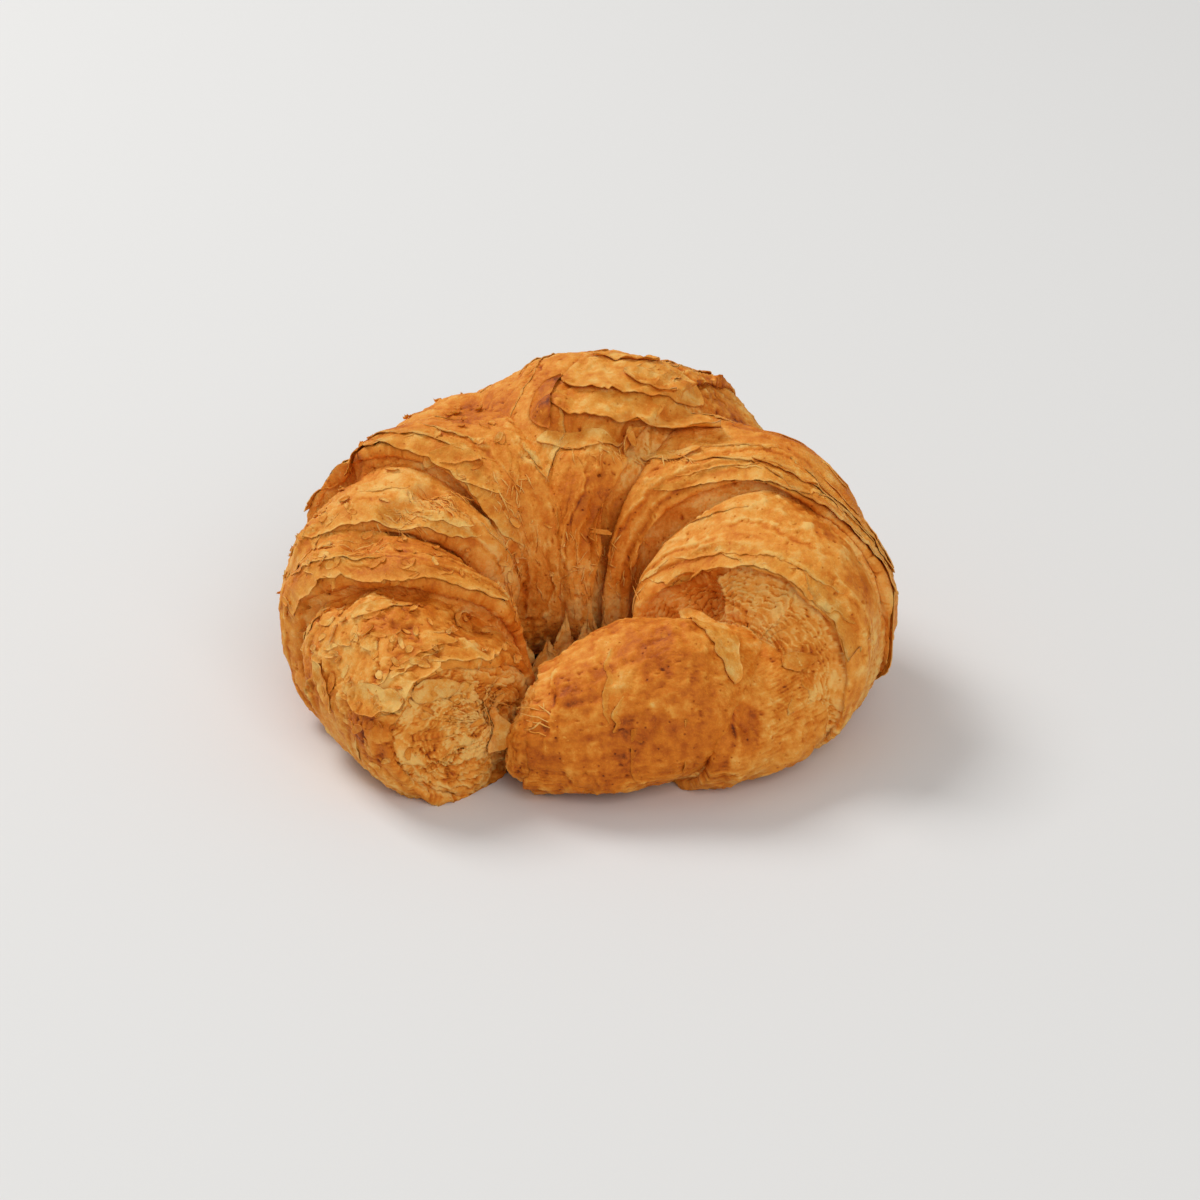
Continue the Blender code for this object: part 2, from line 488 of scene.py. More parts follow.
def row_places(stations, ends):
    """Places along a wrap's axis, evenly apart over its profile and closer at the lip."""
    t = (1 - np.cos(np.linspace(0, pi, 6001))) / 2
    middle = np.array(stations[len(stations) // 2])
    span = radians(abs(stations[-1][0] - stations[0][0])) * middle[1]
    full = barrel(t, ends)
    step = np.hypot(np.diff(t) * span, np.diff(full) * middle[4])
    lip = np.abs(t[1:] - 0.5) > LIP_ROWS
    run = np.concatenate([[0], np.cumsum(step * np.where(lip, LIP_CLOSER, 1.0))])
    return np.interp(np.linspace(0, run[-1], int(run[-1] / SPACING)), run, t)


def column_places(stations):
    """Places round a wrap, closer together on its top than underneath."""
    middle = stations[len(stations) // 2]
    count = int(pi * (middle[3] + middle[4]) / SPACING)
    evenly = np.linspace(0, 2 * pi, count, endpoint=False)
    return evenly + TOP_CLOSER * np.cos(evenly)


def normals_of(grid):
    """The outward unit normals of a grid whose columns close on themselves."""
    sideways = np.roll(grid, -1, axis=1) - np.roll(grid, 1, axis=1)
    across = np.cross(np.gradient(grid, axis=0), sideways)
    across /= np.linalg.norm(across, axis=2, keepdims=True) + 1e-9
    centre = grid.mean(axis=1, keepdims=True)
    if (across * (grid - centre)).sum() < 0:
        across = -across
    return across


def length_from(grid, row):
    """How far each point lies from a row, along its column, growing towards the first row."""
    steps = np.linalg.norm(np.diff(grid, axis=0), axis=2)
    run = np.concatenate([np.zeros((1, grid.shape[1])), np.cumsum(steps, axis=0)])
    return run[row] - run


class Wrap:
    """One wrap: its fine grid of points, and what its pages need to lie on it."""

    def __init__(self, name):
        stations, leans, ends = WRAPS[name]
        self.name = name
        self.finish = {**PLAIN, **FINISH[name]}
        self.seed = 5 * list(WRAPS).index(name)
        self.along = row_places(stations, ends)
        self.around = column_places(stations)
        self.full = barrel(self.along, ends)[:, None]
        around = self.around
        ring = np.stack([np.cos(around), np.sin(around), 0 * around], axis=1)
        self.ring = ring[None] * RING_RADIUS
        self.grid = self.with_lip(stations, leans, ends) - MIDDLE
        self.normals = normals_of(self.grid)
        self.shown = ~buried(self.grid, name, BURIED_BELOW)
        self.grid += (self.shown * -hollows(self.grid))[..., None] * self.normals
        self.brown = np.zeros(self.grid.shape[:2])
        self.add_relief()

    def with_lip(self, stations, leans, ends):
        """The plain grid, with its lip ragged and pushed out over a cap that is drawn back."""
        seed, along, ring = self.seed, self.along, self.ring
        wander = 2.6 * noise(ring, 14, seed) + 1.2 * noise(ring, 5, seed + 1)
        fine = 0.5 * noise(ring, 1.6, seed + 2) * along[:, None] ** 20
        ragged = (wander * along[:, None] ** 6 + fine) * self.full
        grid = wrap_grid(stations, leans, ends, along, self.around, ragged)
        half = len(along) // 2
        off_shoulder = np.abs(self.full[:, 0] - SHOULDER_FULL)
        shoulder = int(np.argmin(off_shoulder[half:])) + half
        self.behind = length_from(grid, shoulder)
        if self.name == "tip":
            first = int(np.argmin(off_shoulder[:half]))
            self.behind = np.minimum(self.behind, -length_from(grid, first))
        self.shoulder = shoulder
        self.start = int(np.argmax(self.behind.mean(axis=1)))
        ahead = np.gradient(grid.mean(axis=1), axis=0)
        ahead /= np.linalg.norm(ahead, axis=1, keepdims=True) + 1e-9
        self.ahead = ahead * np.where(along < 0.5, -1.0, 1.0)[:, None]
        shows = 1.0 if ends[0] == CRISP else (along > 0.5)[:, None]
        lip = LIP_FORWARD * (0.7 + 0.8 * noise(ring, 9, seed + 3)) * bell(self.behind, 1.2)
        cap = CAP_BACK * smooth_step(-self.behind / 2.5 - 0.2)
        return grid + (shows * (lip - cap))[..., None] * self.ahead[:, None]

    def add_relief(self):
        """Raises every point that shows by all the crust's small shapes, and browns it, with
        painted shade at the feet of its steps and layer edges.
        """
        seed, finish, shown = self.seed, self.finish, self.shown
        points, behind = self.grid[shown], self.behind[shown]
        around = np.broadcast_to(self.around, shown.shape)[shown]
        ring = (self.full[..., None] * self.ring)[shown]
        warp = 2.4 * noise(points, 10, seed) + 0.8 * noise(points, 3.5, seed + 1)
        run = warp - behind
        fibre = np.stack([run, ring[:, 0] * 0.28, ring[:, 1] * 0.28], axis=-1)
        calm = smooth_step(0.5 + 0.9 * noise(points, 12, seed + 4))
        coarse = noise(fibre, 3.4, seed + 6)
        middle = noise(fibre, 1.7, seed + 1)
        fine = noise(fibre, 0.95, seed + 2)
        wide, mid, thin = WRINKLES
        wrinkle = wide * coarse + mid * middle * (0.4 + calm) + thin * fine * (0.3 + calm)
        height = finish["wrinkled"] * wrinkle
        brown = -0.10 * middle - 0.06 * fine
        height += 0.9 * noise(points, 21, seed + 7) + 0.40 * noise(points, 8, seed + 8)
        height += finish["rim"] * smooth_step(1.2 - np.abs(behind - 2) / 8)

        lengthwise = noise(np.stack([run * 0.16, ring[:, 0], ring[:, 1]], axis=-1), 2.2, seed + 3)
        height += finish["streaks"] * STREAK_HEIGHT * lengthwise
        brown -= finish["streaks"] * 0.16 * lengthwise

        inner = smooth_step(0.2 - 1.2 * np.cos(around))
        height += finish["pleats"] * PLEAT_HEIGHT * inner * noise(fibre, 5.0, seed + 5)

        for number, (place, wander, step) in enumerate(finish["ledges"]):
            edge = place + wander * noise(ring, 12, seed + number)
            edge += wander * 0.35 * noise(points, 2.2, seed + number)
            strong = smooth_step(0.55 + 1.6 * noise(ring, 15, seed + 9 + number))
            past = behind - edge
            height += step * strong * (smooth_step(past / 0.5) - 1)
            # The dark line at each ledge's foot is painted shade under the step, and the pale
            # line on its upper edge is the layer's paler rim.
            brown += strong * (0.28 * bell(past + 0.3, 0.45) - 0.20 * bell(past - 0.7, 0.5))

        cap = smooth_step(-behind / 1.2 - 0.2)
        phase = behind / LAYER_PITCH + 1.5 * noise(points, 8, seed + 2)
        phase += 0.7 * noise(points, 3, seed + 3) + 0.25 * noise(points, 1.2, seed + 4)
        height, brown = self.add_sheets(height, brown, phase, cap * finish["layers"], points)
        where, wide, strength = finish["strata"]
        turned = np.abs((np.degrees(around) - where + 180) % 360 - 180)
        side = smooth_step(1.5 - turned / wide) * smooth_step(0.6 + noise(points, 16, seed + 6))
        phase = around * STRATA_RADIUS / STRATA_PITCH + 0.9 * noise(points, 9, seed)
        phase += 0.35 * noise(points, 3, seed + 3)
        height, brown = self.add_sheets(height, brown, phase, side * strength, points)

        blister = np.clip(noise(points, 1.9, seed + 7) - 0.08, 0, 1)
        spread = smooth_step(0.65 - noise(points, 12, seed + 8))
        height += finish["blistered"] * BLISTER_HEIGHT * blister * spread
        brown -= finish["blistered"] * 0.30 * blister * spread

        slope = 2.6 * fractal(points, 12, seed + 3) + 0.55 * coarse
        slope += 0.25 * noise(points, 1.3, seed)
        part = slope - np.floor(slope)
        strong = finish["peeled"] * smooth_step(0.5 + 1.2 * noise(points, 14, seed + 2))
        height += PEEL_HEIGHT * strong * (smooth_step(part / 0.10) - part)
        # The dark line just below each step is painted shade at its foot, and the pale line on
        # its top edge is the flake's paler rim.
        brown += strong * (0.22 * bell(part - 1.0, 0.05) - 0.14 * bell(part - 0.14, 0.07))

        cells = np.stack([run, ring[:, 0] * 0.6, ring[:, 1] * 0.6], axis=-1)
        cells = shaken(shaken(cells, 2.6, 1.3, seed), 0.9, 0.4, seed)
        border, value = cracks(cells, CELL_SIZE, seed)
        strong = finish["mosaic"] * smooth_step(0.55 + 1.4 * noise(points, 13, seed + 1))
        crack = bell(border, CRACK_WIDTH) * smooth_step(0.4 + 2.0 * noise(points, 3.5, seed + 5))
        height += strong * (CELL_STEP * value - CRACK_DEPTH * crack)
        brown += strong * (-0.17 * value + 0.32 * crack)

        pit = smooth_step((noise(points, 1.5, seed + 9) - 0.60) / 0.15)
        height -= PIT_DEPTH * pit
        brown += 0.35 * pit

        fade = smooth_step(self.full / 0.25)
        height *= np.broadcast_to(fade, shown.shape)[shown]
        self.grid[shown] += height[:, None] * self.normals[shown]
        brown += finish["browning"] + baked(points) + 0.09 * noise(points, 2.6, seed + 9)
        brown += 0.08 * noise(points, 5.5, seed + 2)
        self.brown[shown] = brown - 0.10 * cap

    def add_sheets(self, height, brown, phase, strength, points):
        """Adds the stacked edges of thin layers, each a slow rise and then a sharp drop, with
        painted shade at the foot of each drop and a paler crest.
        """
        part = phase - np.floor(phase)
        gap = smooth_step(0.5 + 1.5 * noise(points, 4, self.seed + 5))
        rise = part * (1 - smooth_step((part - 0.82) / 0.18))
        height = height + SHEET_HEIGHT * strength * (rise - 0.4) * (0.5 + 0.5 * gap)
        # Painted shade at the foot of each drop, and the layer's paler rim just before the drop.
        dark = bell(part - 0.97, 0.12) + bell(part + 0.03, 0.12)
        return height, brown + strength * (0.55 * dark * gap - 0.35 * bell(part - 0.78, 0.10))


# --- Pages: thin sheets of dough that lie on a wrap, their front edges torn and lifted -------

PAGE_ROWS = 7
PAGE_SPACING = 0.65
PAGE_THICKNESS = 0.22
ABOVE_TRAY = 0.02
SHOULDER_MARGIN = 0.3


def shell_faces(rows, columns):
    """Faces of a closed thin shell: a top grid, then a bottom grid, then its four rims."""
    top = np.arange(rows * columns).reshape(rows, columns)
    bottom = top + rows * columns
    faces = [quads(top), quads(bottom)[:, ::-1]]
    for upper, lower in (
        (top[0], bottom[0]),
        (top[-1, ::-1], bottom[-1, ::-1]),
        (top[::-1, 0], bottom[::-1, 0]),
        (top[:, -1], bottom[:, -1]),
    ):
        faces.append(np.stack([upper[1:], upper[:-1], lower[:-1], lower[1:]], axis=-1))
    return np.concatenate(faces)


def quads(index):
    """The four-sided faces between the rows and columns of a grid of point numbers."""
    corners = (index[:-1, :-1], index[1:, :-1], index[1:, 1:], index[:-1, 1:])
    return np.stack(corners, axis=-1).reshape(-1, 4)


class Heap:
    """Meshes that are gathered up to become one piece."""

    def __init__(self):
        self.points, self.faces, self.brown = [], [], []
        self.count = 0

    def add(self, points, faces, brown):
        self.points.append(points.reshape(-1, 3))
        self.brown.append(np.broadcast_to(brown, points.shape[:-1]).ravel())
        self.faces.append(faces + self.count)
        self.count += self.points[-1].shape[0]

    def add_shell(self, top, normals, thickness, brown):
        """A thin closed shell below a grid of points, its underside painted a little browner as
        shade under the sheet.
        """
        both = np.concatenate([top, top - thickness * normals])
        self.add(both, shell_faces(*top.shape[:2]), np.concatenate([brown, brown + 0.05]))

    def make(self, name, material):
        points = np.concatenate(self.points)
        points[:, 2] = np.maximum(points[:, 2], ABOVE_TRAY)
        return make_piece(
            name, points, np.concatenate(self.faces), np.concatenate(self.brown), material
        )


def add_page(heap, wrap, where, half_length, edge, reach, lift, browner, seed):
    """One page: where round the wrap in degrees, how long, its edge's distance behind the
    lip, how far back it is rooted, and how high its edge is lifted."""
    shoulder = wrap.grid[wrap.shoulder]
    turn = half_length / np.linalg.norm(shoulder - shoulder.mean(axis=0), axis=1).mean()
    count = max(9, int(2 * half_length / PAGE_SPACING))
    across = np.linspace(-1, 1, count)
    angles = (radians(where) + turn * across) % (2 * pi)
    columns = np.searchsorted(wrap.around % (2 * pi), angles) % len(wrap.around)
    spot = np.stack([across * half_length, 0 * across, 0 * across], axis=1)
    torn = 0.9 * noise(spot, 4, seed) + 0.55 * noise(spot, 1.5, seed + 1)
    lens = np.sqrt(1 - across**2 * 0.98)
    front = edge + (1 - lens) * reach * 0.7 - torn * (0.3 + 0.7 * lens)
    back = edge + reach * (0.75 + 0.25 * lens) + 0.5
    v = np.linspace(0, 1, PAGE_ROWS)[:, None]
    behind = back + (front - back) * v**0.8
    rows = np.arange(wrap.start, wrap.shoulder + 1)
    tops, ups = np.empty((2, PAGE_ROWS, count, 3))
    browns = np.empty((PAGE_ROWS, count))
    for k, column in enumerate(columns):
        run = wrap.behind[rows, column]
        held = np.maximum(behind[:, k], SHOULDER_MARGIN)
        row = np.interp(-held, -run, rows)
        low = np.minimum(row.astype(int), wrap.shoulder - 1)
        part = (row - low)[:, None]
        line, up = wrap.grid[:, column], wrap.normals[:, column]
        tops[:, k] = line[low] * (1 - part) + line[low + 1] * part
        ups[:, k] = up[low] * (1 - part) + up[low + 1] * part
        beyond = np.maximum(SHOULDER_MARGIN - behind[:, k], 0)[:, None]
        droop = 0.25 * beyond * up[low]
        tops[:, k] += beyond * wrap.ahead[wrap.shoulder - 3] - droop
        browns[:, k] = wrap.brown[low, column]
    ups /= np.linalg.norm(ups, axis=2, keepdims=True) + 1e-9
    wave = 0.6 * noise(tops, 3.5, seed + 2) + 0.4
    raised = -0.35 + (0.45 + lift * (0.5 + 0.8 * wave)) * v**1.6 * (0.35 + 0.65 * lens)
    tops = tops + raised[..., None] * ups
    if buried(tops[-2:], wrap.name, -0.2).mean() > 0.7:
        return
    pale = 0.20 * smooth_step((v - 0.75) / 0.25)
    heap.add_shell(tops, ups, PAGE_THICKNESS, browns * 0.7 + 0.11 + browner - pale)


# Long pages that make the lips: wrap, where round it in degrees, half length, edge, reach, lift.
LIP_PAGES = (
    ("back_left", 100, 17, -0.8, 8, 1.1),
    ("back_left", 60, 15, -0.2, 7, 0.9),
    ("back_left", 135, 12, -0.5, 6, 0.8),
    ("back_left", 20, 18, -0.8, 7, 0.8),
    ("back_left", 80, 20, 3.5, 7, 0.6),
    ("back_right", 95, 18, -0.6, 8, 1.1),
    ("back_right", 55, 18, -1.4, 9, 1.3),
    ("back_right", 15, 20, -1.2, 9, 1.2),
    ("back_right", -25, 14, -0.6, 7, 0.9),
    ("back_right", 70, 22, 4.0, 8, 0.7),
    ("back_right", 30, 22, 6.5, 9, 0.7),
    ("left", 110, 12, -0.6, 6, 0.9),
    ("left", 75, 14, -1.0, 7, 1.1),
    ("left", 30, 14, -0.8, 6, 0.8),
    ("left_front", 120, 13, -0.4, 7, 0.7),
    ("left_front", 80, 16, -0.8, 8, 0.8),
    ("left_front", 30, 15, -0.8, 7, 0.9),
    ("left_front", 60, 14, 4.0, 7, 0.5),
    ("right", 110, 18, -0.7, 7, 0.7),
    ("right", 70, 18, -0.5, 7, 0.8),
    ("right", 30, 16, -0.6, 7, 0.8),
    ("right", 90, 20, 2.0, 6, 0.5),
    ("tip", 150, 14, -0.8, 7, 1.0),
    ("tip", 45, 20, 4, 8, 0.8),
    ("tip", 10, 22, 9, 9, 0.8),
    ("tip", -15, 18, 15, 9, 0.7),
    ("tip", 65, 16, 12, 8, 0.6),
    ("back_left", 5, 20, 7, 9, 0.8),
    ("back_left", -15, 16, 14, 9, 0.7),
    ("back_left", 35, 14, 11, 8, 0.6),
    ("back_right", 0, 18, 9, 9, 0.8),
    ("back_right", -20, 14, 16, 9, 0.6),
    ("left_end", 100, 10, -0.5, 5, 0.6),
    ("left_end", 50, 10, -0.4, 5, 0.6),
)


def make_pages(wraps, material):
    """The long pages at the lips, and small ones scattered over every wrap."""
    heap = Heap()
    for number, (name, *page) in enumerate(LIP_PAGES):
        add_page(heap, wraps[name], *page, -0.02, number)
    random = np.random.default_rng(5)
    for wrap in wraps.values():
        length = wrap.behind.mean(axis=1).max()
        for number in range(wrap.finish["pages"]):
            where = random.uniform(-20, 200)
            half_length = random.uniform(2.5, 9)
            edge = random.uniform(1, length * 0.8)
            reach = random.uniform(2.0, 5.0)
            lift = random.uniform(0.1, 0.6)
            browner = random.uniform(-0.14, 0.08)
            place = (where, half_length, edge, reach, lift, browner)
            add_page(heap, wrap, *place, 40 + number)
    return heap.make("pages", material)


# --- Draped strips: peeled flakes, the tip's flap and shreds -----------------------------


def surface_of(wraps):
    """A tree that finds where a line meets the wraps."""
    points, faces, count = [], [], 0
    for wrap in wraps:
        mesh = wrap.data
        flat = np.empty(len(mesh.vertices) * 3, np.float32)
        mesh.vertices.foreach_get("co", flat)
        corners = np.empty(len(mesh.loops), np.int32)
        mesh.loops.foreach_get("vertex_index", corners)
        points.append(flat.reshape(-1, 3))
        faces.append(corners.reshape(-1, 4) + count)
        count += len(mesh.vertices)
    return BVHTree.FromPolygons(np.concatenate(points).tolist(), np.concatenate(faces).tolist())


DROP_FROM = 18
DROP_SWING = 3.0
STRIP_THICKNESS = 0.25


def drop(tree, points, out):
    """Where lines along -out from above the points meet the surface."""
    height = np.zeros(points.shape[:-1])
    for place in np.ndindex(height.shape):
        start = (points[place] + DROP_FROM * out) * MM
        hit = tree.ray_cast(Vector(start), Vector(-out), 2 * DROP_FROM * MM)[0]
        if hit is not None:
            height[place] = (np.array(hit) / MM - points[place]) @ out
    level = np.median(height)
    height = np.clip(height, level - DROP_SWING, level + DROP_SWING)
    return points + height[..., None] * out


def smoothed(grid, times):
    """The grid, each point moved towards its neighbours a few times over."""
    for _ in range(times):
        for axis in (0, 1):
            ends = grid.take([0], axis), grid, grid.take([-1], axis)
            padded = np.concatenate(ends, axis=axis)
            low = padded.take(range(grid.shape[axis]), axis)
            high = padded.take(range(2, grid.shape[axis] + 2), axis)
            grid = (low + 2 * grid + high) / 4
    return grid


def add_strip(heap, tree, path, half_widths, out, lifts, brown, seed, step, ragged=0.35, swing=3):
    """A torn sheet along a path, draped on the surface.  Its lifts are how high its left edge,
    its right edge, and its first and last ends stand, and swing is how slowly they waver."""
    out = np.array(out, float) / np.linalg.norm(out)
    path = np.array(path, float)
    length = np.linalg.norm(np.diff(path, axis=0), axis=1).sum()
    rows = max(7, int(length / step))
    s = np.linspace(0, 1, rows)
    centre = through(path, s)
    ahead = np.gradient(centre, axis=0)
    left = np.cross(out, ahead)
    left /= np.linalg.norm(left, axis=1, keepdims=True) + 1e-9
    half = through(np.array(half_widths, float)[:, None], s)[:, 0]
    rounded = (1 - np.abs(2 * s - 1) ** 5) ** 0.5
    spot = np.stack([s * length, 0 * s, 0 * s], axis=1)
    tiny = 0.5 * noise(spot, 0.9, seed)
    jag = (
        noise(spot, 5.0, seed + k) + 0.8 * noise(spot, 1.9, seed + k + 1) + tiny for k in (0, 7)
    )
    wide = [np.maximum(half * rounded * (1 + ragged * edge), 0.12) for edge in jag]
    columns = max(7, int(2 * half.max() / step))
    v = np.linspace(-1, 1, columns)
    width = np.where(v < 0, wide[1][:, None], wide[0][:, None])
    flat = centre[:, None] + (v * width)[..., None] * left[:, None]
    end_jag = 0.5 * noise(flat[[0, -1]], 1.6, seed)
    ahead /= np.linalg.norm(ahead, axis=1, keepdims=True) + 1e-9
    flat[0] += end_jag[0][:, None] * ahead[0]
    flat[-1] += end_jag[1][:, None] * ahead[-1]
    draped = smoothed(drop(tree, flat, out), 2)
    left_lift, right_lift, first_lift, last_lift = lifts
    sides = np.where(v > 0, left_lift, right_lift) * np.abs(v) ** 2
    ends = np.where(s < 0.5, first_lift, last_lift) * np.abs(2 * s - 1) ** 3
    wave = 1 + 0.5 * noise(flat, swing, seed + 3)
    raised = 0.28 + (sides[None] + ends[:, None]) * wave
    raised += 0.22 * noise(flat, 1.9, seed + 4) + 0.08 * noise(flat, 0.9, seed + 5)
    top = draped + raised[..., None] * out
    ups = np.broadcast_to(out, top.shape)
    rim = np.maximum(np.abs(v)[None], np.abs(2 * s - 1)[:, None])
    shade = brown + baked(draped)
    shade += 0.18 * noise(flat, 3.0, seed + 5) + 0.12 * noise(flat, 1.2, seed)
    shade -= 0.08 * smooth_step((rim - 0.8) / 0.2)
    heap.add_shell(top, ups, STRIP_THICKNESS, shade)


# The peeled flakes that stand out: path, half widths, outward direction, lifts, brownness.
BIG_FLAKES = (
    (
        ((-52, -55, 23), (-46, -60, 25), (-38, -63, 26)),
        (3.0, 3.6, 2.4), (-0.4, -0.8, 0.5), (0.3, 0.5, 0.3, 0.4), -0.2,
    ),
    (
        ((-38, -62, 27), (-33, -61, 28), (-27, -58, 28)),
        (1.8, 2.4, 1.6), (0.1, -0.8, 0.6), (0.4, 0.3, 0.2, 0.5), -0.14,
    ),
    (
        ((-51, -43, 34), (-45, -42, 37), (-38, -40, 38)),
        (1.6, 2.2, 1.5), (-0.2, -0.2, 1.0), (0.5, 0.3, 0.4, 0.3), -0.2,
    ),
    (
        ((-60, -44, 26), (-59, -48, 22), (-57, -52, 17)),
        (1.5, 2.2, 1.2), (-0.8, -0.5, 0.3), (0.5, 0.3, 0.2, 0.3), -0.16,
    ),
    (
        ((21, -39, 38), (26, -43, 37), (30, -50, 34), (32, -57, 27)),
        (1.8, 3.6, 4.0, 2.6), (0.3, -0.4, 0.9), (0.6, 0.5, 0.8, 0.2), -0.13,
    ),
    (
        ((8, 23, 67), (14, 21, 67), (21, 19, 65)),
        (2.2, 3.2, 2.2), (0.1, -0.3, 1.0), (0.4, 1.2, 0.5, 0.8), -0.18,
    ),
    (
        ((1, 34, 66), (8, 33, 67), (17, 31, 66)),
        (2.5, 3.0, 2.2), (0.0, -0.1, 1.0), (0.3, 0.9, 0.4, 0.6), -0.05,
    ),
    (
        ((44, -49, 27), (47, -48, 28), (50, -46, 28)),
        (1.3, 2.2, 1.0), (0.5, -0.8, 0.3), (0.5, 0.3, 0.3, 0.6), -0.16,
    ),
    (
        ((-20, -54, 20), (-17, -57, 16), (-19, -60, 11)),
        (1.6, 2.0, 1.4), (0.5, -0.8, 0.3), (0.5, 0.8, 0.5, 0.3), -0.15,
    ),
    (
        ((-38, 3, 52), (-30, 4, 53), (-24, 2, 52)),
        (1.6, 2.2, 1.5), (-0.1, -0.3, 1.0), (0.3, 0.7, 0.4, 0.4), -0.08,
    ),
    (
        ((36, -2, 54), (44, -4, 52), (51, -8, 49)),
        (1.5, 2.2, 1.4), (0.4, -0.2, 1.0), (0.3, 0.6, 0.4, 0.4), -0.1,
    ),
)

# Where bigger flakes gather: place, spread, size, how many, brownness.
FLAKE_CLUSTERS = (
    ((-46, -54, 28), 10, 2.0, 14, -0.10),
    ((-40, -48, 34), 8, 1.5, 9, -0.08),
    ((-54, -44, 28), 9, 1.8, 7, -0.08),
    ((-42, -60, 16), 7, 1.6, 7, -0.05),
    ((-52, -20, 42), 9, 1.8, 12, -0.10),
    ((-34, -30, 40), 8, 1.6, 10, -0.08),
    ((10, 22, 66), 12, 2.0, 12, -0.10),
    ((16, -50, 34), 12, 1.3, 16, -0.10),
    ((40, -25, 46), 12, 1.2, 14, -0.12),
    ((-20, 10, 56), 12, 1.5, 10, -0.08),
)
FLAKES_AROUND = np.array((-4.0, -18.0, 0.0))
RING_REACH = 44
RING_HEIGHT = 20
SMALL_FLAKES = 420
LOWEST_FLAKE = 4


def make_flakes(tree, material):
    """The big peeled flakes, and hundreds of small ones scattered over the crust."""
    heap = Heap()
    for number, (path, widths, out, lifts, brown) in enumerate(BIG_FLAKES):
        add_strip(heap, tree, path, widths, out, lifts, brown, 300 + 9 * number, 0.45)
    random = np.random.default_rng(14)
    for place, spread, size, count, brown in FLAKE_CLUSTERS:
        for number in range(count):
            out = np.array(place) - FLAKES_AROUND
            spot = np.array(place) + random.uniform(-spread, spread, 3)
            out /= np.linalg.norm(out)
            hit = tree.ray_cast(Vector((spot + 25 * out) * MM), Vector(-out), 0.05)
            ahead = np.cross(out, random.normal(size=3))
            ahead *= random.uniform(0.6, 1.3) * size / np.linalg.norm(ahead)
            wide = random.uniform(0.4, 0.8) * size
            lifts = random.uniform(-0.1, 0.25, size=4)
            pale = brown + random.uniform(-0.08, 0.14)
            if hit[0] is None:
                continue
            centre, normal = np.array(hit[0]) / MM, np.array(hit[1])
            widths = (wide * 0.7, wide, wide * 0.5)
            bend = 0.3 * wide * np.cross(normal, ahead) / size
            path = (centre - ahead, centre + bend, centre + ahead)
            add_strip(heap, tree, path, widths, normal, lifts, pale, 900 + number, 0.45, 0.6)
    random = np.random.default_rng(8)
    for number in range(SMALL_FLAKES):
        turn = random.uniform(0, 2 * pi)
        tilt = random.uniform(0.05, 1.0)
        level = np.sqrt(1 - tilt**2)
        out = np.array([np.cos(turn) * level, np.sin(turn) * level, tilt])
        ring_turn = random.uniform(0, 2 * pi)
        start = RING_REACH * np.array([np.cos(ring_turn), np.sin(ring_turn), 0]) + FLAKES_AROUND
        start[2] = RING_HEIGHT
        hit = tree.ray_cast(Vector((start + 70 * out) * MM), Vector(-out), 0.09)
        if hit[0] is None:
            continue
        place, normal = np.array(hit[0]) / MM, np.array(hit[1])
        if place[2] < LOWEST_FLAKE or normal @ out < 0:
            continue
        ahead = np.cross(normal, random.normal(size=3))
        ahead *= random.uniform(0.7, 1.9) / np.linalg.norm(ahead)
        wide = random.uniform(0.4, 0.9)
        lifts = random.uniform(0.0, 0.6, size=4)
        path = (place - ahead, place, place + ahead)
        brown = random.uniform(-0.20, 0.06)
        add_strip(heap, tree, path, (wide,) * 3, normal, lifts, brown, number, 0.5)
    return heap.make("flakes", material)


# The layers of the tip's flap, lowest first: path, half widths, lifts, brownness.
FLAP_LAYERS = (
    (
        ((-6, 26, 64), (-10, 19, 63), (-11, 12, 61), (-9, 7, 58)),
        (1.2, 2.2, 2.6, 1.2), (0.6, 0.6, 0.2, 0.5), 0.2,
    ),
    (
        ((-12, 6, 57), (-6, 5, 58), (1, 4, 58), (8, 4, 57)),
        (1.4, 2.2, 2.4, 1.2), (0.0, 0.5, 0.3, 0.3), -0.1,
    ),
    (
        ((12, 3, 57), (17, 3, 57), (22, 3, 57), (26, 4, 57)),
        (1.2, 2.0, 1.8, 1.0), (0.0, 0.5, 0.3, 0.3), -0.1,
    ),
    (
        ((-9, 13, 61), (2, 13, 64), (15, 13, 63), (31, 11, 58)),
        (5.0, 7.0, 6.5, 3.5), (0.0, 2.7, 0.6, 0.3), -0.04,
    ),
    (
        ((-6, 21, 63), (4, 24, 66), (16, 24, 65), (27, 21, 61)),
        (6, 9, 8, 4), (0.0, 1.0, 0.6, 0.3), -0.1,
    ),
)


def make_tip_flap(tree, material):
    """The roll's last corner, folded down over the back, its front edge open over a cave."""
    heap = Heap()
    front = (0.0, -0.35, 1.0)
    for number, (path, widths, lifts, brown) in enumerate(FLAP_LAYERS):
        seed = 500 + 20 * number
        add_strip(heap, tree, path, widths, front, lifts, brown, seed, 0.45, 0.13, 11.0)
    return heap.make("tip_flap", material)


# --- Threads and shreds ------------------------------------------------------------------

# Where torn threads gather: place, spread, outward direction, their run, and how many.
THREADS = (
    ((-42, -14, 46), (6, 3, 2), (0.1, -0.4, 1.0), (5, -4, 0), 46),
    ((-34, -6, 48), (5, 4, 2), (0.2, -0.3, 1.0), (4, -5, 0), 40),
    ((-18, -4, 50), (5, 5, 3), (0.0, -0.7, 0.8), (1, -4, -4), 40),
    ((-16, -10, 36), (5, 4, 7), (0.3, -1.0, 0.3), (1, -2, -6), 36),
    ((3, -10, 33), (9, 4, 10), (0.0, -1.0, 0.5), (0, -2, -6), 60),
    ((8, 3, 57), (14, 3, 2), (0.0, -0.7, 1.0), (3, -5, -2), 40),
    ((-52, -24, 43), (5, 3, 2), (-0.2, -0.3, 1.0), (5, 2, 0), 20),
    ((-19, -53, 20), (2, 4, 5), (0.6, -0.6, 0.4), (3, -3, -3), 18),
)
THREAD_SIDES = 5


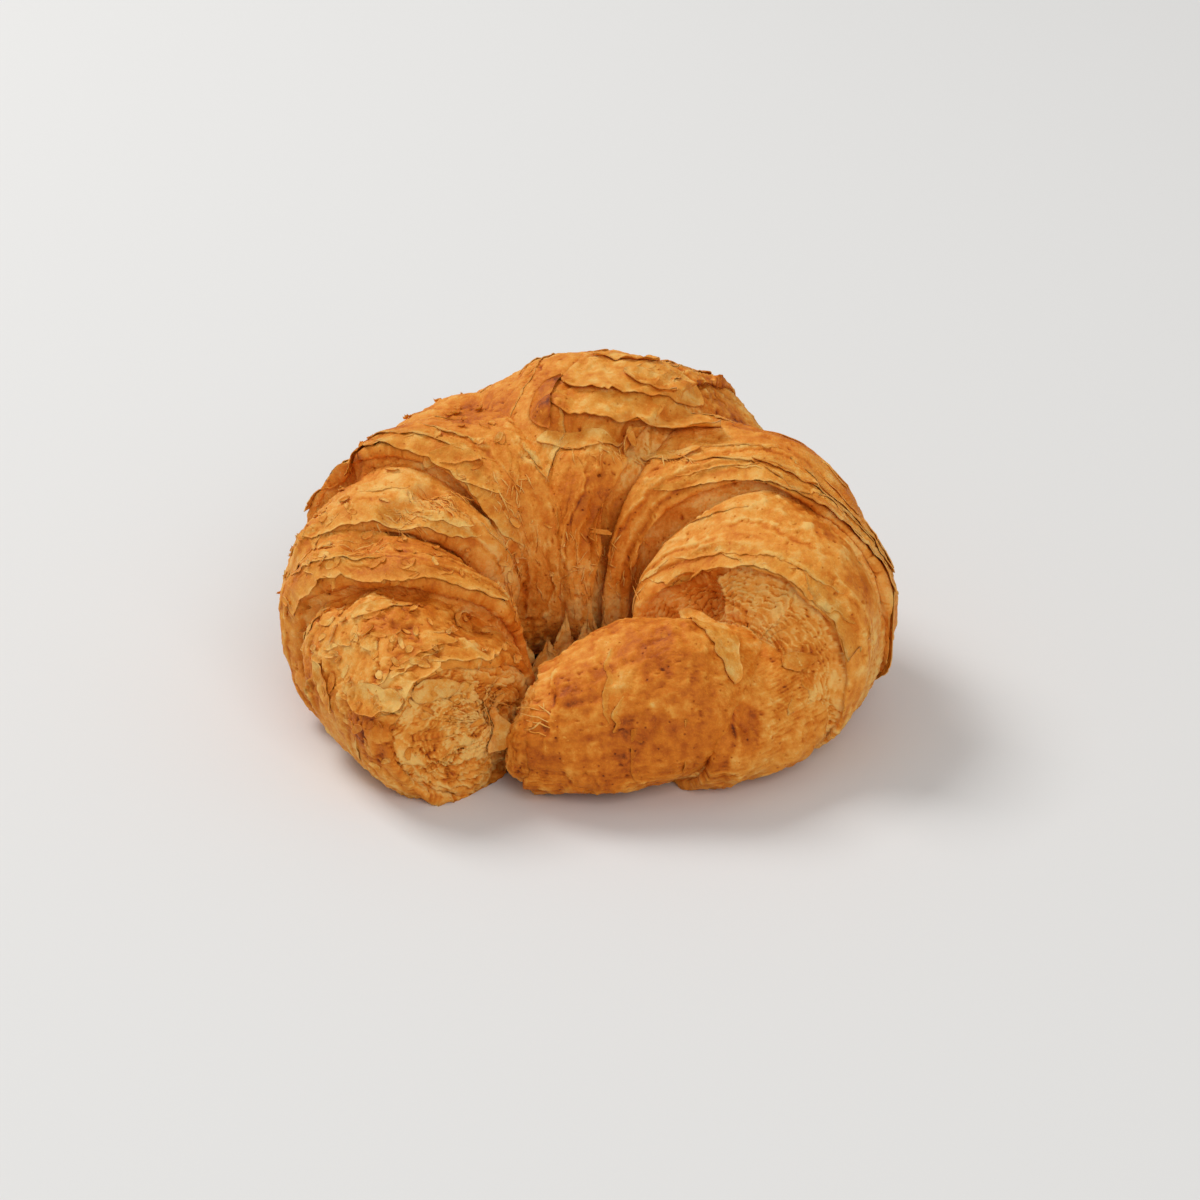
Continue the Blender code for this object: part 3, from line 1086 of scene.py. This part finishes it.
def add_thread(heap, points, radius, brown):
    """A thin tube along a few points."""
    ahead = np.gradient(points, axis=0)
    ahead /= np.linalg.norm(ahead, axis=1, keepdims=True) + 1e-9
    first = np.cross(ahead, (0.3, 0.8, 0.52))
    first /= np.linalg.norm(first, axis=1, keepdims=True) + 1e-9
    second = np.cross(ahead, first)
    thin = radius * (0.35 + np.sin(np.linspace(0.15, pi - 0.15, len(points))))
    turn = np.arange(THREAD_SIDES) * 2 * pi / THREAD_SIDES
    ring = first[:, None] * np.cos(turn)[:, None] + second[:, None] * np.sin(turn)[:, None]
    tube = points[:, None] + thin[:, None, None] * ring
    index = np.arange(len(points) * THREAD_SIDES).reshape(len(points), THREAD_SIDES)
    closed = np.concatenate([index, index[:, :1]], axis=1)
    heap.add(tube, quads(closed), brown)


def make_threads(tree, material):
    """Torn threads, gathered where the dough has been pulled apart."""
    heap = Heap()
    random = np.random.default_rng(21)
    for place, spread, out, run, count in THREADS:
        out = np.array(out) / np.linalg.norm(out)
        for _ in range(count):
            start = np.array(place) + random.uniform(-1, 1, 3) * spread
            along = np.array(run) * random.uniform(0.2, 0.8) + random.normal(size=3) * 1.3
            ends = drop(tree, np.array([start, start + along / 2, start + along]), out)
            lift = random.uniform(0.1, 0.7)
            ends += out * np.array([[0.0], [lift], [0.0]])
            points = through(ends, np.linspace(0, 1, 9))
            points += 0.35 * np.stack([noise(points, 1.8, 700 + k) for k in range(3)], axis=1)
            add_thread(heap, points, random.uniform(0.07, 0.15), random.uniform(0.05, 0.35))
    return heap.make("threads", material)


# Shreds that stand in the hole: foot, top, half width at the foot.
SHREDS = (
    ((-10, -19, 2), (-9, -18, 19), 4.0),
    ((-6, -16, 2), (-5, -15, 24), 4.2),
    ((-1, -14, 2), (0, -14, 22), 4.4),
    ((-13, -16, 2), (-14, -17, 17), 3.2),
    ((3, -13, 2), (4, -13, 25), 4.0),
    ((7, -14, 2), (8, -14, 19), 3.4),
    ((-4, -19, 2), (-3, -18, 15), 3.6),
    ((1, -17, 2), (2, -17, 17), 3.4),
)
SHRED_THICKNESS = 0.35


def make_shreds(material):
    """Torn upright sheets, joined to the hole's back wall."""
    heap = Heap()
    for number, (foot, top, half_width) in enumerate(SHREDS):
        v = np.linspace(0, 1, 26)[:, None]
        u = np.linspace(-1, 1, 15)[None]
        spot = np.stack([u + 0 * v, v * 8 + 0 * u, 0 * (u + v)], axis=-1) * 3
        torn = 1 + 0.5 * noise(spot[:, :1], 2.2, 600 + number)
        width = half_width * (1 - v**3.5) * torn + 0.15
        height = 1 - 0.25 * np.abs(u) + 0.22 * noise(spot[:1], 1.6, 610 + number)
        grid = np.array(foot) + (np.array(top) - np.array(foot)) * (v * height)[..., None]
        grid = grid + np.array((1.0, 0.35, 0.0)) * (width * u)[..., None]
        bend = 1.6 * noise(spot, 5, 620 + number) + 0.4 * noise(spot, 1.8, 630 + number)
        grid += np.array((0.2, 1.0, 0.0)) * bend[..., None]
        ups = np.broadcast_to(np.array((0.3, -0.95, 0.0)), grid.shape)
        heap.add_shell(grid, ups, SHRED_THICKNESS, 0.15 + 0.2 * noise(spot, 3, 640 + number))
    return heap.make("shreds", material)


# --- Meshes ------------------------------------------------------------------------------


def make_piece(name, points, faces, brown, material):
    """A smooth mesh piece that rides on the one body and wears the crust's slot."""
    mesh = bpy.data.meshes.new(name)
    mesh.from_pydata((points * MM).tolist(), [], faces.tolist())
    # The brown field holds the browning, and also painted shade at the feet of steps and under
    # sheets.
    field = mesh.attributes.new("brown", "FLOAT", "POINT")
    field.data.foreach_set("value", np.ascontiguousarray(brown, np.float32))
    mesh.shade_smooth()
    mesh.materials.append(material)
    piece = bpy.data.objects.new(name, mesh)
    bpy.context.scene.collection.objects.link(piece)
    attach(piece, "root")
    return piece


def make_wrap(wrap, material):
    """The wrap's faces that show, flat underneath where it rests."""
    points = wrap.grid.reshape(-1, 3)
    points[:, 2] = np.maximum(points[:, 2], 0)
    index = np.arange(len(points)).reshape(wrap.shown.shape)
    closed = np.concatenate([index, index[:, :1]], axis=1)
    faces = quads(closed)
    faces = faces[wrap.shown.ravel()[faces].any(axis=1)]
    keep = np.zeros(len(points), bool)
    keep[faces.ravel()] = True
    number = np.cumsum(keep) - 1
    return make_piece(wrap.name, points[keep], number[faces], wrap.brown.ravel()[keep], material)


# --- Materials ---------------------------------------------------------------------------


def linear(red, green, blue):
    """An sRGB colour of 0 to 255 as a shader's linear colour."""
    srgb = np.array((red, green, blue)) / 255
    low, high = srgb / 12.92, ((srgb + 0.055) / 1.055) ** 2.4
    return (*np.where(srgb <= 0.04045, low, high), 1.0)


CREAM = linear(240, 186, 102)
GOLD = linear(232, 152, 58)
AMBER = linear(214, 120, 28)
BROWN = linear(182, 88, 13)
DARK = linear(118, 50, 7)
FLOOR = linear(226, 225, 223)


class Nodes:
    """A material's node tree, with short ways to add to it."""

    def __init__(self, name):
        self.material = bpy.data.materials.new(name)
        self.material.use_nodes = True
        self.tree = self.material.node_tree
        self.shader = self.tree.nodes["Principled BSDF"]

    def math(self, operation, *values, clamp=False):
        node = self.tree.nodes.new("ShaderNodeMath")
        node.operation = operation
        node.use_clamp = clamp
        for socket, value in zip(node.inputs, values):
            if isinstance(value, (int, float)):
                socket.default_value = value
            else:
                self.tree.links.new(value, socket)
        return node.outputs["Value"]

    def texture(self, kind, place, output, **settings):
        node = self.tree.nodes.new(kind)
        for socket, value in settings.items():
            node.inputs[socket].default_value = value
        self.tree.links.new(place, node.inputs["Vector"])
        return node.outputs[output]

    def link(self, value, socket):
        self.tree.links.new(value, self.shader.inputs[socket])


def crust_material():
    """Cream to dark brown by how browned a point is and by painted shade at the feet of steps and
    under sheets, with flecks, pinholes and a soft sheen.
    """
    nodes = Nodes("crust")
    place = nodes.tree.nodes.new("ShaderNodeTexCoord").outputs["Object"]
    field = nodes.tree.nodes.new("ShaderNodeAttribute")
    field.attribute_name = "brown"
    mottle = nodes.texture("ShaderNodeTexNoise", place, "Fac", Scale=330, Detail=4, Roughness=0.6)
    grain = nodes.texture("ShaderNodeTexNoise", place, "Fac", Scale=1300, Detail=3, Roughness=0.6)
    holes = nodes.texture("ShaderNodeTexVoronoi", place, "Distance", Scale=420)
    fleck = nodes.math("MULTIPLY", nodes.math("SUBTRACT", grain, 0.57), 3.4, clamp=True)
    pinhole = nodes.math("SUBTRACT", 1.0, nodes.math("MULTIPLY", holes, 7.0), clamp=True)
    brown = nodes.math("ADD", field.outputs["Fac"], -0.03)
    for value, middle, amount in ((mottle, 0.5, 0.75), (grain, 0.5, 0.50)):
        change = nodes.math("MULTIPLY", nodes.math("SUBTRACT", value, middle), amount)
        brown = nodes.math("ADD", brown, change)
    brown = nodes.math("SUBTRACT", brown, nodes.math("MULTIPLY", fleck, 0.50))
    brown = nodes.math("ADD", brown, nodes.math("MULTIPLY", pinhole, 0.45))
    ramp = nodes.tree.nodes.new("ShaderNodeValToRGB")
    stops = ramp.color_ramp.elements
    stops[0].position, stops[0].color = 0.0, CREAM
    stops[1].position, stops[1].color = 1.0, DARK
    for position, colour in ((0.25, GOLD), (0.5, AMBER), (0.78, BROWN)):
        stops.new(position).color = colour
    nodes.tree.links.new(brown, ramp.inputs["Fac"])
    nodes.link(ramp.outputs["Color"], "Base Color")
    bump = nodes.tree.nodes.new("ShaderNodeBump")
    bump.inputs["Strength"].default_value = 0.6
    bump.inputs["Distance"].default_value = 0.0005
    relief = nodes.math("SUBTRACT", grain, nodes.math("MULTIPLY", pinhole, 0.8))
    nodes.tree.links.new(relief, bump.inputs["Height"])
    nodes.link(bump.outputs["Normal"], "Normal")
    rough = nodes.math("SUBTRACT", 0.66, nodes.math("MULTIPLY", brown, 0.14))
    nodes.link(rough, "Roughness")
    nodes.shader.inputs["Specular IOR Level"].default_value = 0.16
    nodes.shader.inputs["Subsurface Weight"].default_value = 0.12
    nodes.shader.inputs["Subsurface Radius"].default_value = (1.0, 0.5, 0.2)
    nodes.shader.inputs["Subsurface Scale"].default_value = 0.002
    return nodes.material


def floor_material():
    """A plain pale floor."""
    nodes = Nodes("floor")
    nodes.shader.inputs["Base Color"].default_value = FLOOR
    nodes.shader.inputs["Roughness"].default_value = 0.6
    nodes.shader.inputs["Specular IOR Level"].default_value = 0.2
    return nodes.material


# --- Floor, lamps and camera -------------------------------------------------------------


FLOOR_SIZE = 6
ROOM_LIGHT = 0.44

# Each lamp's place, size and power, all in metres and watts.
LAMPS = {
    "window": ((-1.0, 0.8, 1.5), 0.8, 22.0),
    "front_fill": ((0.6, -1.6, 1.3), 1.2, 14.0),
}
AIM = (0, 0, 0.02)

CAMERA_PLACE = (0.0028, -0.6623, 0.3506)
CAMERA_TILT = 63.4
LENS = 95.6
SENSOR = 36


def make_floor():
    bpy.ops.mesh.primitive_plane_add(size=FLOOR_SIZE)
    floor = bpy.context.object
    floor.name = "floor"
    floor.data.materials.append(floor_material())


def make_lamp(name, place, size, power):
    """A white square lamp aimed at the croissant."""
    data = bpy.data.lights.new(name, "AREA")
    data.shape = "SQUARE"
    data.size = size
    data.energy = power
    lamp = bpy.data.objects.new(name, data)
    lamp.location = place
    aim = bpy.data.objects.new(name + "_aim", None)
    aim.location = AIM
    track = lamp.constraints.new("TRACK_TO")
    track.target = aim
    for item in (lamp, aim):
        bpy.context.scene.collection.objects.link(item)


def light_scene():
    world = bpy.data.worlds.new("room")
    world.use_nodes = True
    world.node_tree.nodes["Background"].inputs["Color"].default_value = (1, 1, 1, 1)
    world.node_tree.nodes["Background"].inputs["Strength"].default_value = ROOM_LIGHT
    bpy.context.scene.world = world
    for name, lamp in LAMPS.items():
        make_lamp(name, *lamp)


def make_camera():
    data = bpy.data.cameras.new("camera")
    data.lens = LENS
    data.sensor_width = SENSOR
    camera = bpy.data.objects.new("camera", data)
    camera.location = CAMERA_PLACE
    camera.rotation_euler = (radians(CAMERA_TILT), 0, 0)
    bpy.context.scene.collection.objects.link(camera)
    bpy.context.scene.camera = camera


# --- The scene ---------------------------------------------------------------------------

crust = crust_material()
wraps = {name: Wrap(name) for name in WRAPS}
made = [make_wrap(wrap, crust) for wrap in wraps.values()]
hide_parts("croissant")
surface = surface_of(made)
make_pages(wraps, crust)
make_flakes(surface, crust)
make_tip_flap(surface, crust)
make_threads(surface, crust)
make_shreds(crust)

make_floor()
light_scene()
make_camera()
bpy.context.scene.view_settings.view_transform = "Standard"
